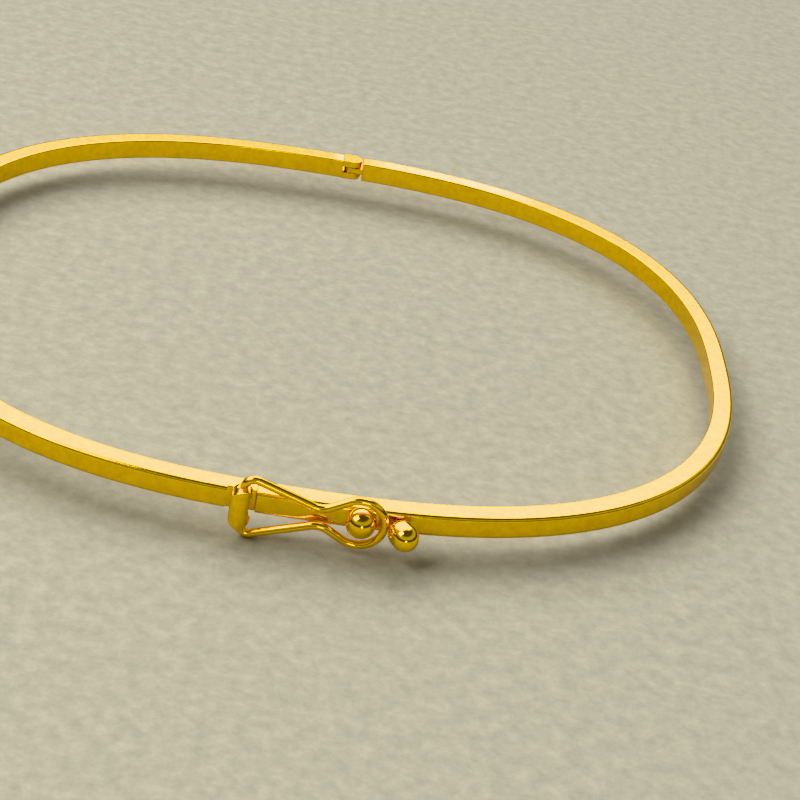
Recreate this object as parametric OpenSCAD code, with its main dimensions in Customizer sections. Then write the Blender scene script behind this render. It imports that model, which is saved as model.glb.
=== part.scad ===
// Oval bangle bracelet in near-square wire: two halves on a back hinge, closed at
// the front by a figure-eight wire latch that loops over a ball stud.
// Millimetres, +Z up, front is -Y. The ring lies flat.

/* [Band] */
// Half the long width of the oval, to the middle of the wire
oval_a = 30; // [24:0.5:36]
// Half the short width of the oval, to the middle of the wire
oval_b = 25.5; // [20:0.5:32]
// Fullness of the oval, where 2 is an ellipse
oval_power = 2.46; // [2:0.02:3]
// Width of the wire, seen from above
wire_w = 1.45; // [1.2:0.05:2.4]
// Height of the wire
wire_h = 1.60; // [1.2:0.05:2.4]

/* [Front joint] */
// End of the left half at the front
left_end_x = -2.93; // [-3.5:0.01:-2.5]
// Gap between the two ends
end_gap = 0.06; // [0.04:0.01:0.3]
// Where the full wire of the left half stops and the flat for the latch begins
shoulder_x = -4.8; // [-6:0.05:-4]
// Depth of the flat under the outer face
flat_depth = 0.35; // [0.2:0.05:0.6]

/* [Latch] */
// Latch pivot, across
pivot_x = -3.9; // [-4.5:0.05:-3.5]
// Latch pivot, in front of the outer face of the band
pivot_out = 0.375; // [0.3:0.025:0.6]
// Radius of the curved front of the latch head
head_r = 0.80; // [0.7:0.01:0.85]
// Latch head, reach to the left of the pivot
head_left = 0.60; // [0.4:0.05:0.7]
// Latch head, reach to the right of the pivot
head_right = 0.55; // [0.4:0.05:0.7]
// Half the height of the latch head
head_half_h = 1.40; // [1.2:0.05:1.8]
// Rounding of the left corners of the latch head
head_corner_r = 0.75; // [0.3:0.05:1]
// Radius of the latch wire
latch_wire_r = 0.28; // [0.2:0.01:0.4]
// Radius of the bend where the wire leaves the head
bend_r = 0.65; // [0.4:0.05:0.8]
// Middle of that bend, across
bend_x = -3.1; // [-3.3:0.05:-2.5]
// Waist of the figure eight, across
waist_x = 1.15; // [0.5:0.05:1.8]
// Waist of the figure eight, half the height between wire centres
waist_half_h = 0.67; // [0.5:0.01:0.9]
// Radius of the curve of the wire at the waist
waist_r = 1.30; // [0.8:0.05:2]
// Middle of the ring round the ball, across
ring_x = 3.70; // [3:0.05:5]
// Radius of the ring round the ball, to the middle of the wire
ring_r = 1.68; // [1.5:0.01:2]
// Radius of the knob at the tip
knob_r = 0.90; // [0.6:0.05:1]
// Length of the knob between the centres of its two round ends
knob_len = 0.40; // [0.2:0.05:1.4]
// Knob turned away from the band by this angle
knob_angle = 60; // [0:5:90]
// From the middle of the ring's wire to the near end of the knob, across
knob_lead = 1.12; // [0.8:0.01:1.4]
// Near end of the knob, in front of the latch wire
knob_out = 0.48; // [0:0.02:0.8]

/* [Ball stud] */
// Middle of the ball, across
ball_x = 3.85; // [3:0.05:5]
// Radius of the ball
ball_r = 1.00; // [0.8:0.01:1.1]
// Radius of the peg that holds the ball in the band
peg_r = 0.30; // [0.2:0.05:0.4]

/* [Back hinge] */
// Hinge pin, across
hinge_x = 1.2; // [-3:0.1:3]
// Radius of the hinge pin
hinge_pin_r = 0.30; // [0.2:0.05:0.4]
// Height of the middle knuckle
middle_h = 0.44; // [0.3:0.02:0.6]
// Gap above and below the middle knuckle
knuckle_gap = 0.05; // [0.03:0.01:0.1]

/* [Fits] */
// Radial clearance of each pin in the knuckle that turns on it
run_gap = 0.03; // [0.02:0.01:0.08]

/* [Hidden] */
$fn = 48;

half_w = wire_w / 2;
half_h = wire_h / 2;
oval_step = 2.5;
outer_y = oval_b + half_w;
far = 2 * oval_a;
eps = 0.5;

// front joint
right_end_x = left_end_x + end_gap;
flat_y = outer_y - flat_depth;
pivot_y = outer_y + pivot_out;
latch_pin_r = 0.20;
lug_r = 0.40;
lug_half_w = 0.25;

// latch head, seen from the pivot
lug_room = 0.10;
cavity_r = lug_r + lug_room;
cavity_half_h = half_h + lug_room;
cavity_front = 0.40;
cheek_back = 0.45;

// latch wire: bend, slope, waist, rise and ring meet without a corner
bend_z = head_half_h;
waist_z = waist_half_h + waist_r;
bend_to_waist = [waist_x - bend_x, waist_z - bend_z];
slope_dir = atan2(bend_to_waist[1], bend_to_waist[0])
    - asin((bend_r + waist_r) / norm(bend_to_waist));
bend_end = slope_dir + 90;
waist_to_ring = [ring_x - waist_x, -waist_z];
rise_dir = atan2(waist_to_ring[1], waist_to_ring[0])
    + asin((waist_r + ring_r) / norm(waist_to_ring));
ring_angle = rise_dir + 90;
slope_a = on_circle([bend_x, bend_z], bend_r, bend_end);
slope_b = on_circle([waist_x, waist_z], waist_r, bend_end + 180);
rise_a = on_circle([waist_x, waist_z], waist_r, ring_angle + 180);
rise_b = on_circle([ring_x, 0], ring_r, ring_angle);
joint_swell = 0.015;
joint_gap = 0.05;
joint_trim = joint_gap * 180 / PI;

// knob
ring_end_x = ring_x + ring_r;
knob_x = ring_end_x + knob_lead;
knob_y = pivot_y + knob_out;
neck_r = 0.45;
seat_angle = 60;
knob_tip_y = knob_y + knob_len * sin(knob_angle) + knob_r;

// ball stud
ball_y = pivot_y - 0.03;
peg_depth = 0.80;
peg_root = 0.10;

// back hinge
hinge_y = oval_y(oval_a, oval_b, hinge_x);
knuckle_r = half_w;
swing_gap = 0.125;
cut_back = knuckle_r + swing_gap;
knuckle_z = middle_h / 2 + knuckle_gap;

// the frame: middle of the footprint, lowest point at zero
ring_y = (knob_tip_y - outer_y) / 2;
mid_z = bend_z + bend_r + latch_wire_r;

function on_circle(at, r, angle) = [at[0] + r * cos(angle), at[1] + r * sin(angle)];

function signed_power(v, p) = sign(v) * pow(abs(v), p);

function oval_y(a, b, x) = b * pow(1 - pow(abs(x) / a, oval_power), 1 / oval_power);

function oval_points(a, b) = [
    for (t = [0 : oval_step : 360 - oval_step])
        [a * signed_power(cos(t), 2 / oval_power), b * signed_power(sin(t), 2 / oval_power)]
];

module placed() {
    translate([0, ring_y, mid_z])
        children();
}

// the whole ring of square wire
module wire_ring() {
    translate([0, 0, -half_h])
        linear_extrude(wire_h)
            difference() {
                polygon(oval_points(oval_a + half_w, oval_b + half_w));
                polygon(oval_points(oval_a - half_w, oval_b - half_w));
            }
}

// a tall block used for cutting, from one corner to the other
module block(x0, x1, y0, y1) {
    translate([x0, y0, -wire_h])
        cube([x1 - x0, y1 - y0, 2 * wire_h]);
}

module pin_z(x, y, z, r, h) {
    translate([x, y, z])
        cylinder(r = r, h = h);
}

// left half of the band, with the flat that carries the latch
module left_band() {
    color("gold")
        placed()
            difference() {
                wire_ring();
                block(left_end_x, far, -far, 0);
                block(hinge_x - cut_back, far, 0, far);
                block(shoulder_x, left_end_x + eps, -far, -flat_y);
            }
}

// right half of the band, with the hole for the ball's peg
module right_band() {
    color("gold")
        placed()
            difference() {
                wire_ring();
                block(-far, right_end_x, -far, 0);
                block(-far, hinge_x + cut_back, 0, far);
                ball_peg(0);
            }
}

// one knuckle of the back hinge with its foot on the end of the wire
module knuckle(z, h, side, bore_r) {
    foot_x = side > 0 ? 0 : -cut_back;
    translate([hinge_x, hinge_y, z])
        difference() {
            union() {
                cylinder(r = knuckle_r, h = h);
                translate([foot_x, -knuckle_r, 0])
                    cube([cut_back, 2 * knuckle_r, h]);
            }
            translate([0, 0, -eps])
                cylinder(r = bore_r, h = h + 2 * eps);
        }
}

module hinge_knuckle_upper() {
    color("gold")
        placed()
            knuckle(knuckle_z, half_h - knuckle_z, -1, hinge_pin_r);
}

module hinge_knuckle_lower() {
    color("gold")
        placed()
            knuckle(-half_h, half_h - knuckle_z, -1, hinge_pin_r);
}

module hinge_knuckle_middle() {
    color("gold")
        placed()
            knuckle(-middle_h / 2, middle_h, 1, hinge_pin_r + run_gap);
}

module hinge_pin() {
    color("gold")
        placed()
            pin_z(hinge_x, hinge_y, -half_h, hinge_pin_r, wire_h);
}

// eye on the flat of the left half: the latch pin turns in it
module latch_lug() {
    color("gold")
        placed()
            difference() {
                union() {
                    pin_z(pivot_x, -pivot_y, -half_h, lug_r, wire_h);
                    translate([pivot_x - lug_half_w, -pivot_y, -half_h])
                        cube([2 * lug_half_w, pivot_y - flat_y, wire_h]);
                }
                pin_z(pivot_x, -pivot_y, -wire_h, latch_pin_r + run_gap, 2 * wire_h);
            }
}

module latch_pin() {
    color("gold")
        placed()
            pin_z(pivot_x, -pivot_y, -head_half_h, latch_pin_r, 2 * head_half_h);
}

// front view of the latch head: square on the right, rounded on the left
module head_outline() {
    corner_x = head_corner_r - head_left;
    corner_z = head_half_h - head_corner_r;
    translate([corner_x, -head_half_h])
        square([head_right - corner_x, 2 * head_half_h]);
    translate([-head_left, -corner_z])
        square([head_left + head_right, 2 * corner_z]);
    translate([corner_x, corner_z])
        circle(r = head_corner_r);
    translate([corner_x, -corner_z])
        circle(r = head_corner_r);
}

// curved front plate with a cheek above and below the lug
module latch_head() {
    color("gold")
        placed()
            translate([pivot_x, -pivot_y, 0])
                difference() {
                    intersection() {
                        translate([0, 0, -head_half_h])
                            cylinder(r = head_r, h = 2 * head_half_h);
                        translate([0, cheek_back, 0])
                            rotate([90, 0, 0])
                                linear_extrude(cheek_back + head_r)
                                    head_outline();
                    }
                    translate([0, 0, -cavity_half_h])
                        cylinder(r = cavity_r, h = 2 * cavity_half_h);
                    translate([-head_r, -cavity_front, -cavity_half_h])
                        cube([2 * head_r, 2 * head_r, 2 * cavity_half_h]);
                    translate([0, 0, -2 * head_half_h])
                        cylinder(r = latch_pin_r, h = 4 * head_half_h);
                }
}

// part of a ring of round wire in the plane of the latch
module wire_arc(x, z, r, start, turn) {
    translate([x, -pivot_y, z])
        rotate([90, 0, 0])
            rotate([0, 0, start])
                rotate_extrude(angle = turn)
                    translate([r, 0])
                        circle(r = latch_wire_r);
}

// round joint between two stretches of the wire
module wire_joint(at) {
    translate([at[0], -pivot_y, at[1]])
        sphere(r = latch_wire_r + joint_swell);
}

// straight stretch of the wire between two joints
module wire_run(a, b) {
    step = b - a;
    translate([a[0], -pivot_y, a[1]])
        rotate([0, 90 - atan2(step[1], step[0]), 0])
            translate([0, 0, joint_gap])
                cylinder(r = latch_wire_r, h = norm(step) - 2 * joint_gap);
}

// one arm of the latch: bend, slope, waist and rise
module wire_arm() {
    wire_arc(bend_x, bend_z, bend_r, bend_end + joint_trim / bend_r,
        180 - bend_end - joint_trim / bend_r);
    wire_joint(slope_a);
    wire_run(slope_a, slope_b);
    wire_joint(slope_b);
    wire_arc(waist_x, waist_z, waist_r, bend_end + 180 + joint_trim / waist_r,
        ring_angle - bend_end - 2 * joint_trim / waist_r);
    wire_joint(rise_a);
    wire_run(rise_a, rise_b);
    wire_joint(rise_b);
}

module latch_wire() {
    color("gold")
        placed() {
            wire_arm();
            mirror([0, 0, 1])
                wire_arm();
            wire_arc(ring_x, 0, ring_r, joint_trim / ring_r - ring_angle,
                2 * (ring_angle - joint_trim / ring_r));
        }
}

// half outline of the knob along its length
module knob_profile() {
    intersection() {
        union() {
            circle(r = knob_r);
            square([knob_r, knob_len]);
            translate([0, knob_len])
                circle(r = knob_r);
        }
        translate([0, -2 * knob_r])
            square([2 * knob_r, knob_len + 4 * knob_r]);
    }
}

module tip_knob() {
    color("gold")
        placed()
            difference() {
                union() {
                    translate([knob_x, -knob_y, 0])
                        rotate([0, 90, -knob_angle])
                            rotate_extrude()
                                knob_profile();
                    translate([ring_end_x, -pivot_y, 0])
                        rotate([0, 90, -atan2(knob_out, knob_lead)])
                            cylinder(r = neck_r, h = knob_r);
                }
                wire_arc(ring_x, 0, ring_r, -seat_angle, 2 * seat_angle);
                translate([ring_x, -pivot_y, 0])
                    rotate([90, 0, 0])
                        cylinder(r = ring_r, h = 2 * knob_r, center = true);
            }
}

// peg behind the ball, reaching forward by the given length
module ball_peg(forward) {
    translate([ball_x, -outer_y + peg_depth, 0])
        rotate([90, 0, 0])
            cylinder(r = peg_r, h = peg_depth + forward);
}

// ball seated on the outer face of the right half
module ball_stud() {
    color("gold")
        placed() {
            difference() {
                translate([ball_x, -ball_y, 0])
                    sphere(r = ball_r);
                translate([0, 0, -wire_h])
                    linear_extrude(2 * wire_h)
                        polygon(oval_points(oval_a + half_w, oval_b + half_w));
            }
            ball_peg(peg_root);
        }
}

left_band();
right_band();
hinge_knuckle_upper();
hinge_knuckle_lower();
hinge_knuckle_middle();
hinge_pin();
latch_lug();
latch_pin();
latch_head();
latch_wire();
tip_knob();
ball_stud();
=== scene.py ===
"""Looks of an oval bangle bracelet in near-square gold wire with a figure-eight wire latch.

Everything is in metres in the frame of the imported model. Shapes are worked out in
millimetres from the middle of the ring and moved into the frame at the end.
"""

import math

import bpy
from mathutils import Matrix, Vector


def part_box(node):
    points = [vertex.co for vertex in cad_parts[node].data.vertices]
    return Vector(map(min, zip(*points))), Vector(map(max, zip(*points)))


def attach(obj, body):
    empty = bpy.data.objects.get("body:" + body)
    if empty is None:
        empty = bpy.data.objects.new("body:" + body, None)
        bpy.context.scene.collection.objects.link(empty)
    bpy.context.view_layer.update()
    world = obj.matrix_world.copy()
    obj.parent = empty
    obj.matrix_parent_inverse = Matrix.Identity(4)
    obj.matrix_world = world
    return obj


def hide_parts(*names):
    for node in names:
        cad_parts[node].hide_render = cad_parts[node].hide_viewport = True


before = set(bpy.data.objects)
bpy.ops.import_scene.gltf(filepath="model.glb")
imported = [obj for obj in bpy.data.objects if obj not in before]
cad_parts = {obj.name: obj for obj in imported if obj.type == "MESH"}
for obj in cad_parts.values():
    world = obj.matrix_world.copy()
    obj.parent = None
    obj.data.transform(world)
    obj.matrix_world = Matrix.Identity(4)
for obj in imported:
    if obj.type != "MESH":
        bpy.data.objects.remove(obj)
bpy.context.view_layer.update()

MM = 0.001

# ---------------------------------------------------------------- sizes from the CAD
left_lo, left_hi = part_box("left_band")
right_lo, right_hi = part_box("right_band")
wire_lo, wire_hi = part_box("latch_wire")
pin_lo, pin_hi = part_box("latch_pin")
ball_lo, ball_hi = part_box("ball_stud")
knob_lo, knob_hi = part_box("tip_knob")
back_pin_lo, back_pin_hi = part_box("hinge_pin")

# The middle of the ring, in metres; every size after it is in millimetres
MID = Vector((0, (right_lo.y + right_hi.y) / 2, (left_lo.z + left_hi.z) / 2))

# Wire of the band: half its width and height, and how far its edges are worn round
HALF = 0.725
HALF_H = (left_hi.z - left_lo.z) / 2 / MM
OUTER_EDGE, INNER_EDGE = 0.26, 0.10
CORNER_LEAD, LEAST_CORNER, CORNER_STEPS = 0.05, 0.02, 5

# Middle line of the oval, its two front ends and the steps along each half
OVAL_A = right_hi.x / MM - HALF
OVAL_B = (right_hi.y - right_lo.y) / 2 / MM - HALF
OVAL_N = 2.46
LEFT_END, RIGHT_END = -2.89, -2.885
END_EASE = 0.04
BAND_STEPS = 260

# Flat tongue at the front of the left half, set back from the outer face
SHOULDER = -4.8
TONGUE_DEPTH = 0.35
TONGUE_FACE = OVAL_B + HALF - TONGUE_DEPTH
TONGUE_EDGE, TONGUE_EASE, TONGUE_STEPS = 0.07, 0.05, 8

# Back hinge: where it is and how far each half stops short of it
HINGE_X = (back_pin_lo.x + back_pin_hi.x) / 2 / MM
SWING_GAP = 0.125
HINGE_CUT = HALF + SWING_GAP

# Latch: its pin, its wire (a little fatter at the joints in the CAD), bend, waist and ring
PIVOT_Y = ((pin_lo.y + pin_hi.y) / 2 - MID.y) / MM
HEAD_H = (pin_hi.z - pin_lo.z) / 2 / MM
JOINT_SWELL = 0.015
LATCH_R = (wire_hi.y - wire_lo.y) / 2 / MM - JOINT_SWELL
BEND_R = (wire_hi.z - MID.z) / MM - LATCH_R - HEAD_H
BEND_X = -3.1
WAIST_X, WAIST_H, WAIST_R = 1.15, 0.67, 1.30
RING_X = 3.70
RING_R = wire_hi.x / MM - LATCH_R - RING_X
WIRE_SIDES = 28

# Latch head: voxel and smoothing passes that wear its edges round
HEAD_VOXEL, HEAD_PASSES = 0.035, 14
WELD = 0.0005

# Ball stud: its flat foot is against the band
BALL_R = (ball_hi.x - ball_lo.x) / 2 / MM
BALL_X = (ball_hi.x + ball_lo.x) / 2 / MM
BALL_SETBACK = 0.03
BALL_Y = PIVOT_Y + BALL_SETBACK
FOOT_DEPTH, FOOT_ANGLE = 0.42, 64

# Knob: a ball drawn out by KNOB_LEN, past the ring and turned away from the band
KNOB_R = (knob_hi.z - knob_lo.z) / 2 / MM
KNOB_LEAD, KNOB_OUT = 1.12, 0.48
KNOB_X = RING_X + RING_R + KNOB_LEAD
KNOB_Y = PIVOT_Y - KNOB_OUT
KNOB_LEN, KNOB_TURN = 0.40, 60
TURNED_SIDES, TURNED_STEP = 72, 4


# ---------------------------------------------------------------- mesh helpers
def add_mesh(name, verts, faces, body, slot_name, replaced, sharp=40.0):
    """A piece from points in millimetres about the middle of the ring."""
    mesh = bpy.data.meshes.new(name)
    mesh.from_pydata([tuple(Vector(v) * MM + MID) for v in verts], [], faces)
    mesh.validate()
    mesh.update()
    mesh.shade_smooth()
    mesh.set_sharp_from_angle(angle=math.radians(sharp))
    obj = bpy.data.objects.new(name, mesh)
    bpy.context.scene.collection.objects.link(obj)
    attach(obj, body)
    if replaced:
        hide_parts(*replaced)
    return obj


def grid_faces(rows, cols):
    """Quads of a tube: rows of cols points, closed around each row."""
    faces = []
    for r in range(rows - 1):
        a, b = r * cols, (r + 1) * cols
        for c in range(cols):
            d = (c + 1) % cols
            faces.append((a + c, a + d, b + d, b + c))
    return faces


def rounded_section(lo_d, hi_d, lo_z, hi_z, outer, inner, inset, steps=CORNER_STEPS):
    """A rectangle with rounded corners as (d, z) points, anticlockwise, with support points."""
    lo_d, hi_d, lo_z, hi_z = lo_d + inset, hi_d - inset, lo_z + inset, hi_z - inset
    ro, ri = (max(r - inset * 0.5, LEAST_CORNER) for r in (outer, inner))
    lead = CORNER_LEAD
    pts = []
    for cd, cz, r, start in (
        (hi_d - ro, lo_z + ro, ro, -90),
        (hi_d - ro, hi_z - ro, ro, 0),
        (lo_d + ri, hi_z - ri, ri, 90),
        (lo_d + ri, lo_z + ri, ri, 180),
    ):
        arc = []
        for k in range(steps + 1):
            t = math.radians(start + 90 * k / steps)
            arc.append((cd + r * math.cos(t), cz + r * math.sin(t)))
        t0, t1 = math.radians(start), math.radians(start + 90)
        arc.insert(0, (arc[0][0] + lead * math.sin(t0), arc[0][1] - lead * math.cos(t0)))
        arc.append((arc[-1][0] - lead * math.sin(t1), arc[-1][1] + lead * math.cos(t1)))
        pts += arc
    return pts


def power(v, p):
    """Power that keeps the sign."""
    return math.copysign(abs(v) ** p, v)


def oval_t(x, d, front):
    """Parameter at which the oval offset by d has this x."""
    c = power(x / (OVAL_A + d), OVAL_N / 2)
    t = math.acos(max(-1.0, min(1.0, c)))
    return -t if front else t


def oval_at(t, d):
    """Point of the oval offset by d."""
    return (
        (OVAL_A + d) * power(math.cos(t), 2 / OVAL_N),
        (OVAL_B + d) * power(math.sin(t), 2 / OVAL_N),
    )


def eased(length, radius):
    """Steps along a rounded end, as (distance from the end, inset of the section)."""
    turns = [math.radians(v) for v in (0, 22.5, 45, 67.5, 90)]
    return [(length * (1 - math.cos(t)), radius * (1 - math.sin(t))) for t in turns]


def band_row(section, t_of):
    """One section of the wire as points, at the parameter each offset asks for."""
    return [(*oval_at(t_of(d), d), z) for d, z in section]


def band_rows(x_back, x_front, left, steps, open_front=True):
    """Sections of the wire along the oval from the back hinge to the front end."""
    side = -1 if left else 1
    ease = END_EASE

    def back_t(x):
        return lambda d: oval_t(x, d, False)

    def front_t(x):
        return lambda d: oval_t(x, d, True) + (2 * math.pi if left else 0)

    rows = []
    for s, inset in eased(ease, ease):
        rows.append(band_row(wire_section(inset), back_t(x_back + side * s)))
    start, stop = back_t(x_back + side * ease), front_t(x_front + (side * ease if open_front else 0))
    for k in range(1, steps):
        f = k / steps
        rows.append(band_row(wire_section(0), lambda d: start(d) + (stop(d) - start(d)) * f))
    if open_front:
        for s, inset in reversed(eased(ease, ease)):
            rows.append(band_row(wire_section(inset), front_t(x_front + side * s)))
    else:
        rows.append(band_row(wire_section(0), stop))
    return rows


def wire_section(inset):
    """Section of the wire of the band, drawn in by inset."""
    return rounded_section(-HALF, HALF, -HALF_H, HALF_H, OUTER_EDGE, INNER_EDGE, inset)


def tongue_rows():
    """The flat at the front end of the left half, set back from the outer face."""
    rows = []
    ease = TONGUE_EASE
    outer = TONGUE_FACE - OVAL_B
    plan = [(SHOULDER, 0.0)]
    for k in range(1, TONGUE_STEPS):
        plan.append((SHOULDER + (LEFT_END - ease - SHOULDER) * k / TONGUE_STEPS, 0.0))
    plan += [(LEFT_END - s, inset) for s, inset in reversed(eased(ease, ease))]
    for x, inset in plan:
        inner = -oval_at(oval_t(x, -HALF, True), -HALF)[1] - OVAL_B
        section = rounded_section(inner, outer, -HALF_H, HALF_H, TONGUE_EDGE, INNER_EDGE, inset)
        rows.append([(x, -OVAL_B - d, z) for d, z in section])
    return rows


def skin(rows):
    """Closed surface over a run of sections."""
    cols = len(rows[0])
    verts = [p for row in rows for p in row]
    faces = grid_faces(len(rows), cols)
    faces.append(tuple(reversed(range(cols))))
    faces.append(tuple(range((len(rows) - 1) * cols, len(rows) * cols)))
    return verts, faces


# ---------------------------------------------------------------- the two halves of the band
left_rows = band_rows(HINGE_X - HINGE_CUT, SHOULDER, True, BAND_STEPS, open_front=False)
left_band = add_mesh(
    "band_left", *skin(left_rows + tongue_rows()), "left_half", "band_gold", ["left_band"]
)
right_band = add_mesh(
    "band_right",
    *skin(band_rows(HINGE_X + HINGE_CUT, RIGHT_END, False, BAND_STEPS)),
    "right_half",
    "band_gold",
    ["right_band"],
)


# ---------------------------------------------------------------- latch wire
def latch_path():
    """The figure eight as (x, z) points, head to head round the ring."""
    waist_z = WAIST_H + WAIST_R
    cx, cz = WAIST_X - BEND_X, waist_z - HEAD_H
    slope = math.atan2(cz, cx) - math.asin((BEND_R + WAIST_R) / math.hypot(cx, cz))
    dx = RING_X - WAIST_X
    rise = math.atan2(-waist_z, dx) + math.asin((WAIST_R + RING_R) / math.hypot(dx, waist_z))
    turn, ring = slope + math.pi / 2, rise + math.pi / 2
    pts = []

    def arc(x, z, r, a0, a1, n):
        for k in range(n + 1):
            a = a0 + (a1 - a0) * k / n
            pts.append((x + r * math.cos(a), z + r * math.sin(a)))

    def straight(b, n):
        a = pts[-1]
        for k in range(1, n):
            pts.append((a[0] + (b[0] - a[0]) * k / n, a[1] + (b[1] - a[1]) * k / n))

    arc(BEND_X, HEAD_H, BEND_R, math.pi, turn, 20)
    straight((WAIST_X - WAIST_R * math.cos(turn), waist_z - WAIST_R * math.sin(turn)), 12)
    arc(WAIST_X, waist_z, WAIST_R, math.pi + turn, math.pi + ring, 20)
    straight((RING_X + RING_R * math.cos(ring), RING_R * math.sin(ring)), 8)
    arc(RING_X, 0, RING_R, ring, 0, 44)
    return pts + [(x, -z) for x, z in reversed(pts[:-1])]


def tube_along(path, y, r, sides=WIRE_SIDES):
    """Round wire of radius r along (x, z) points at this y."""
    rows = []
    for i, (x, z) in enumerate(path):
        p0, p1 = path[max(i - 1, 0)], path[min(i + 1, len(path) - 1)]
        tx, tz = p1[0] - p0[0], p1[1] - p0[1]
        n = math.hypot(tx, tz)
        nx, nz = -tz / n, tx / n
        rows.append(
            [
                (
                    x + r * math.cos(a) * nx,
                    y + r * math.sin(a),
                    z + r * math.cos(a) * nz,
                )
                for a in (2 * math.pi * k / sides for k in range(sides))
            ]
        )
    return skin(rows)


latch_wire = add_mesh(
    "latch_loop", *tube_along(latch_path(), PIVOT_Y, LATCH_R), "latch", "latch_gold", ["latch_wire"]
)


# ---------------------------------------------------------------- latch head, worn round
def softened(node_name, voxel, passes):
    """Points and faces of a CAD node with its edges worn round, in millimetres."""
    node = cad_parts[node_name]
    verts = [tuple((node.matrix_world @ v.co - MID) / MM) for v in node.data.vertices]
    mesh = bpy.data.meshes.new("blank")
    mesh.from_pydata(verts, [], [tuple(f.vertices) for f in node.data.polygons])
    blank = bpy.data.objects.new("blank", mesh)
    bpy.context.scene.collection.objects.link(blank)
    weld = blank.modifiers.new("weld", "WELD")
    weld.merge_threshold = WELD
    remesh = blank.modifiers.new("remesh", "REMESH")
    remesh.mode = "VOXEL"
    remesh.voxel_size = voxel
    smooth = blank.modifiers.new("smooth", "SMOOTH")
    smooth.factor = 0.5
    smooth.iterations = passes
    done = blank.evaluated_get(bpy.context.evaluated_depsgraph_get()).to_mesh()
    points = [tuple(v.co) for v in done.vertices]
    faces = [tuple(f.vertices) for f in done.polygons]
    bpy.data.objects.remove(blank)
    bpy.data.meshes.remove(mesh)
    return points, faces


latch_head = add_mesh(
    "head",
    *softened("latch_head", HEAD_VOXEL, HEAD_PASSES),
    "latch",
    "latch_gold",
    ["latch_head"],
    sharp=80,
)


# ---------------------------------------------------------------- ball stud and knob
def revolve(profile, sides, matrix):
    """Turned piece: profile is (radius, along) points, first and last on the axis."""
    verts = [matrix @ Vector((0, 0, profile[0][1]))]
    rows = []
    for r, s in profile[1:-1]:
        rows.append(len(verts))
        for k in range(sides):
            a = 2 * math.pi * k / sides
            verts.append(matrix @ Vector((r * math.cos(a), r * math.sin(a), s)))
    verts.append(matrix @ Vector((0, 0, profile[-1][1])))
    faces = []
    for k in range(sides):
        d = (k + 1) % sides
        faces.append((0, rows[0] + d, rows[0] + k))
        faces.append((len(verts) - 1, rows[-1] + k, rows[-1] + d))
    for a, b in zip(rows, rows[1:]):
        for k in range(sides):
            d = (k + 1) % sides
            faces.append((a + k, a + d, b + d, b + k))
    return [tuple(v) for v in verts], faces


ball_profile = [(0.0, -FOOT_DEPTH)]
ball_profile += [
    (BALL_R * math.sin(math.radians(a)), -BALL_R * math.cos(math.radians(a)))
    for a in range(FOOT_ANGLE, 180, TURNED_STEP)
]
ball_profile += [(0.0, BALL_R)]
ball_at = Matrix.Translation((BALL_X, BALL_Y, 0)) @ Matrix.Rotation(math.radians(90), 4, "X")
ball = add_mesh(
    "ball", *revolve(ball_profile, TURNED_SIDES, ball_at), "right_half", "latch_gold", ["ball_stud"]
)

knob_profile = [(0.0, -KNOB_R)]
knob_profile += [
    (KNOB_R * math.sin(math.radians(a)), -KNOB_R * math.cos(math.radians(a)))
    for a in range(TURNED_STEP, 91, TURNED_STEP)
]
knob_profile += [
    (KNOB_R * math.sin(math.radians(a)), KNOB_LEN - KNOB_R * math.cos(math.radians(a)))
    for a in range(92, 177, TURNED_STEP)
]
knob_profile += [(0.0, KNOB_LEN + KNOB_R)]
knob_at = (
    Matrix.Translation((KNOB_X, KNOB_Y, 0))
    @ Matrix.Rotation(math.radians(-KNOB_TURN), 4, "Z")
    @ Matrix.Rotation(math.radians(90), 4, "Y")
)
knob = add_mesh(
    "knob", *revolve(knob_profile, TURNED_SIDES, knob_at), "latch", "latch_gold", ["tip_knob"]
)


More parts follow.
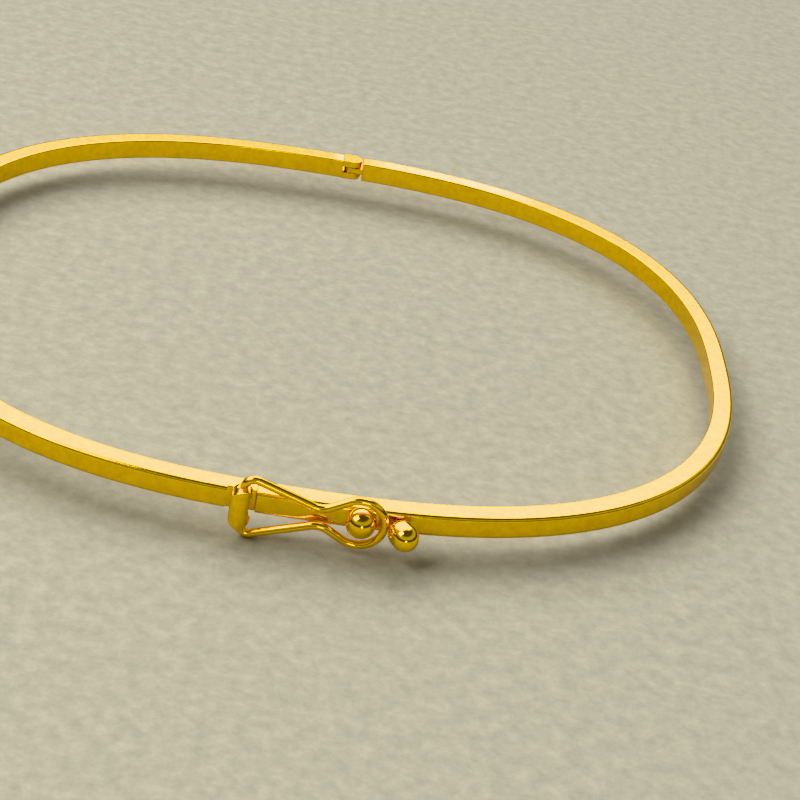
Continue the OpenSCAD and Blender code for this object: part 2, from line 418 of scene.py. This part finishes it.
# ---------------------------------------------------------------- materials
def gold(name, colour, deep, rough, mottle, scratch, edge):
    """Polished gold: slight colour and gloss variation, fine wear marks and eased edges."""
    mat = bpy.data.materials.new(name)
    mat.use_nodes = True
    nt = mat.node_tree
    nodes, links = nt.nodes, nt.links
    shader = nodes["Principled BSDF"]
    shader.inputs["Metallic"].default_value = 1.0
    coord = nodes.new("ShaderNodeTexCoord")

    def noise(scale, detail, grain, stretch=None):
        source = coord.outputs["Object"]
        if stretch:
            mapping = nodes.new("ShaderNodeMapping")
            mapping.inputs["Scale"].default_value = stretch
            links.new(source, mapping.inputs["Vector"])
            source = mapping.outputs["Vector"]
        n = nodes.new("ShaderNodeTexNoise")
        n.inputs["Scale"].default_value = scale
        n.inputs["Detail"].default_value = detail
        n.inputs["Roughness"].default_value = grain
        links.new(source, n.inputs["Vector"])
        return n.outputs["Fac"]

    def ramp(fac, p0, c0, p1, c1):
        r = nodes.new("ShaderNodeValToRGB")
        r.color_ramp.elements[0].position = p0
        r.color_ramp.elements[0].color = (*c0, 1)
        r.color_ramp.elements[1].position = p1
        r.color_ramp.elements[1].color = (*c1, 1)
        links.new(fac, r.inputs["Fac"])
        return r.outputs["Color"]

    tone = ramp(noise(2200, 4, 0.6), 0.35, deep, 0.62, colour)
    links.new(tone, shader.inputs["Base Color"])
    gloss = nodes.new("ShaderNodeMapRange")
    gloss.inputs["From Min"].default_value = 0.35
    gloss.inputs["From Max"].default_value = 0.7
    gloss.inputs["To Min"].default_value = rough[0]
    gloss.inputs["To Max"].default_value = rough[1]
    links.new(noise(1400, 5, 0.65), gloss.inputs["Value"])
    links.new(gloss.outputs["Result"], shader.inputs["Roughness"])
    wide = nodes.new("ShaderNodeBump")
    wide.inputs["Strength"].default_value = mottle
    wide.inputs["Distance"].default_value = 0.00002
    links.new(noise(900, 3, 0.5), wide.inputs["Height"])
    fine = nodes.new("ShaderNodeBump")
    fine.inputs["Strength"].default_value = scratch
    fine.inputs["Distance"].default_value = 0.000004
    links.new(noise(5000, 4, 0.7, (1.0, 1.0, 6.0)), fine.inputs["Height"])
    links.new(wide.outputs["Normal"], fine.inputs["Normal"])
    if edge:
        bevel = nodes.new("ShaderNodeBevel")
        bevel.samples = 6
        bevel.inputs["Radius"].default_value = edge
        links.new(bevel.outputs["Normal"], wide.inputs["Normal"])
    links.new(fine.outputs["Normal"], shader.inputs["Normal"])
    return mat


GOLD = (1.0, 0.67, 0.03)
DEEP = (0.90, 0.55, 0.012)
band_gold = gold("band_gold", GOLD, DEEP, (0.10, 0.2), 0.35, 0.25, None)
latch_gold = gold("latch_gold", GOLD, DEEP, (0.05, 0.11), 0.12, 0.1, None)
small_gold = gold("small_gold", GOLD, DEEP, (0.08, 0.14), 0.12, 0.15, 0.00008)

for obj in (left_band, right_band):
    obj.data.materials.append(band_gold)
for obj in (latch_wire, latch_head, ball, knob):
    obj.data.materials.append(latch_gold)
for name in (
    "hinge_knuckle_upper",
    "hinge_knuckle_lower",
    "hinge_knuckle_middle",
    "hinge_pin",
    "latch_lug",
    "latch_pin",
):
    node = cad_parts[name]
    node.data.materials.clear()
    node.data.materials.append(small_gold)


# ---------------------------------------------------------------- floor
floor_mesh = bpy.data.meshes.new("floor")
floor_mesh.from_pydata([(-3, -3, 0), (3, -3, 0), (3, 3, 0), (-3, 3, 0)], [], [(0, 1, 2, 3)])
floor = bpy.data.objects.new("floor", floor_mesh)
bpy.context.scene.collection.objects.link(floor)
floor_mat = bpy.data.materials.new("floor")
floor_mat.use_nodes = True
nt = floor_mat.node_tree
floor_surface = nt.nodes["Principled BSDF"]
floor_surface.inputs["Roughness"].default_value = 0.85
floor_coord = nt.nodes.new("ShaderNodeTexCoord")
floor_grain = nt.nodes.new("ShaderNodeTexNoise")
floor_grain.inputs["Scale"].default_value = 900
floor_grain.inputs["Detail"].default_value = 8
floor_grain.inputs["Roughness"].default_value = 0.7
nt.links.new(floor_coord.outputs["Object"], floor_grain.inputs["Vector"])
floor_shade = nt.nodes.new("ShaderNodeValToRGB")
floor_shade.color_ramp.elements[0].position = 0.35
floor_shade.color_ramp.elements[0].color = (0.30, 0.285, 0.22, 1)
floor_shade.color_ramp.elements[1].position = 0.65
floor_shade.color_ramp.elements[1].color = (0.38, 0.362, 0.285, 1)
nt.links.new(floor_grain.outputs["Fac"], floor_shade.inputs["Fac"])
nt.links.new(floor_shade.outputs["Color"], floor_surface.inputs["Base Color"])
floor_mesh.materials.append(floor_mat)


# ---------------------------------------------------------------- light
world = bpy.data.worlds.new("studio")
bpy.context.scene.world = world
world.use_nodes = True
sky_nodes, sky_links = world.node_tree.nodes, world.node_tree.links
background = sky_nodes["Background"]
direction = sky_nodes.new("ShaderNodeTexCoord")
split = sky_nodes.new("ShaderNodeSeparateXYZ")
sky_links.new(direction.outputs["Generated"], split.inputs["Vector"])


def sky(stops):
    """Brightness against the sine of the height above the horizon."""
    ramp = sky_nodes.new("ShaderNodeValToRGB")
    elements = ramp.color_ramp.elements
    while len(elements) > 1:
        elements.remove(elements[-1])
    for k, (at, level) in enumerate(stops):
        e = elements[0] if k == 0 else elements.new(at)
        e.position = at
        e.color = (level, level * 0.985, level * 0.95, 1)
    sky_links.new(split.outputs["Z"], ramp.inputs["Fac"])
    return ramp.outputs["Color"]


# Stops are (sine of the height, brightness): bright high up behind the ring, dim at the sides
BACK_SKY = (
    (0.0, 0.01),
    (0.17, 0.015),
    (0.30, 0.06),
    (0.418, 0.28),
    (0.465, 1.0),
    (0.90, 1.0),
    (0.98, 0.1),
)
SIDE_SKY = ((0.0, 0.01), (0.24, 0.015), (0.36, 0.11), (0.62, 0.11), (0.74, 0.02), (1.0, 0.015))
SKY_LEVEL = 4.6
to_soft_box = sky_nodes.new("ShaderNodeVectorMath")
to_soft_box.operation = "DOT_PRODUCT"
to_soft_box.inputs[1].default_value = (-0.20, 0.68, 0.707)
sky_links.new(direction.outputs["Generated"], to_soft_box.inputs[0])
facing = sky_nodes.new("ShaderNodeMapRange")
facing.interpolation_type = "SMOOTHSTEP"
facing.inputs["From Min"].default_value = 0.74
facing.inputs["From Max"].default_value = 0.85
sky_links.new(to_soft_box.outputs["Value"], facing.inputs["Value"])
mixer = sky_nodes.new("ShaderNodeMixRGB")
sky_links.new(facing.outputs["Result"], mixer.inputs["Fac"])
sky_links.new(sky(SIDE_SKY), mixer.inputs["Color1"])
sky_links.new(sky(BACK_SKY), mixer.inputs["Color2"])
sky_links.new(mixer.outputs["Color"], background.inputs["Color"])
background.inputs["Strength"].default_value = SKY_LEVEL


def panel(name, where, size_x, size_y, watts, colour):
    """Area light that faces the origin, in metres and watts."""
    data = bpy.data.lights.new(name, "AREA")
    data.shape = "RECTANGLE"
    data.size, data.size_y = size_x, size_y
    data.energy = watts
    data.color = colour
    lamp = bpy.data.objects.new(name, data)
    lamp.location = where
    lamp.rotation_euler = (Vector((0, 0, 0)) - Vector(where)).to_track_quat("-Z", "Y").to_euler()
    bpy.context.scene.collection.objects.link(lamp)


panel("window", (-0.26, -0.11, 0.32), 0.24, 0.24, 1.1, (1.0, 0.97, 0.92))
panel("spark", (0.08, -0.50, 0.05), 0.10, 0.08, 0.15, (1.0, 0.98, 0.95))
panel("slot", (0.061, 0.60, 0.27), 0.056, 0.03, 0.06, (1.0, 0.97, 0.90))


# ---------------------------------------------------------------- camera at the photo's angle
# Degrees, then millimetres from the middle of the ring, then the lens in millimetres
AZIMUTH, ELEVATION, ROLL = -4.89, 31.23, 11.56
AIM, DISTANCE, LENS = (6.04, -11.06, 0), 137.79, 88.79


def photo_camera():
    """Camera at the angle, roll and distance fitted to the photo."""
    azimuth, elevation, roll = (math.radians(v) for v in (AZIMUTH, ELEVATION, ROLL))
    back_dir = Vector(
        (
            math.sin(azimuth) * math.cos(elevation),
            -math.cos(azimuth) * math.cos(elevation),
            math.sin(elevation),
        )
    )
    right = Vector((0, 0, 1)).cross(back_dir).normalized()
    up = back_dir.cross(right)
    right_r = right * math.cos(roll) + up * math.sin(roll)
    up_r = -right * math.sin(roll) + up * math.cos(roll)
    place = Vector(AIM) + back_dir * DISTANCE
    data = bpy.data.cameras.new("camera")
    data.sensor_width = 36
    data.lens = LENS
    data.clip_start, data.clip_end = 0.005, 20
    camera = bpy.data.objects.new("camera", data)
    rot = Matrix((right_r, up_r, back_dir)).transposed().to_4x4()
    camera.matrix_world = Matrix.Translation(place * MM + MID) @ rot
    bpy.context.scene.collection.objects.link(camera)
    bpy.context.scene.camera = camera


photo_camera()
bpy.context.scene.view_settings.view_transform = "Khronos PBR Neutral"
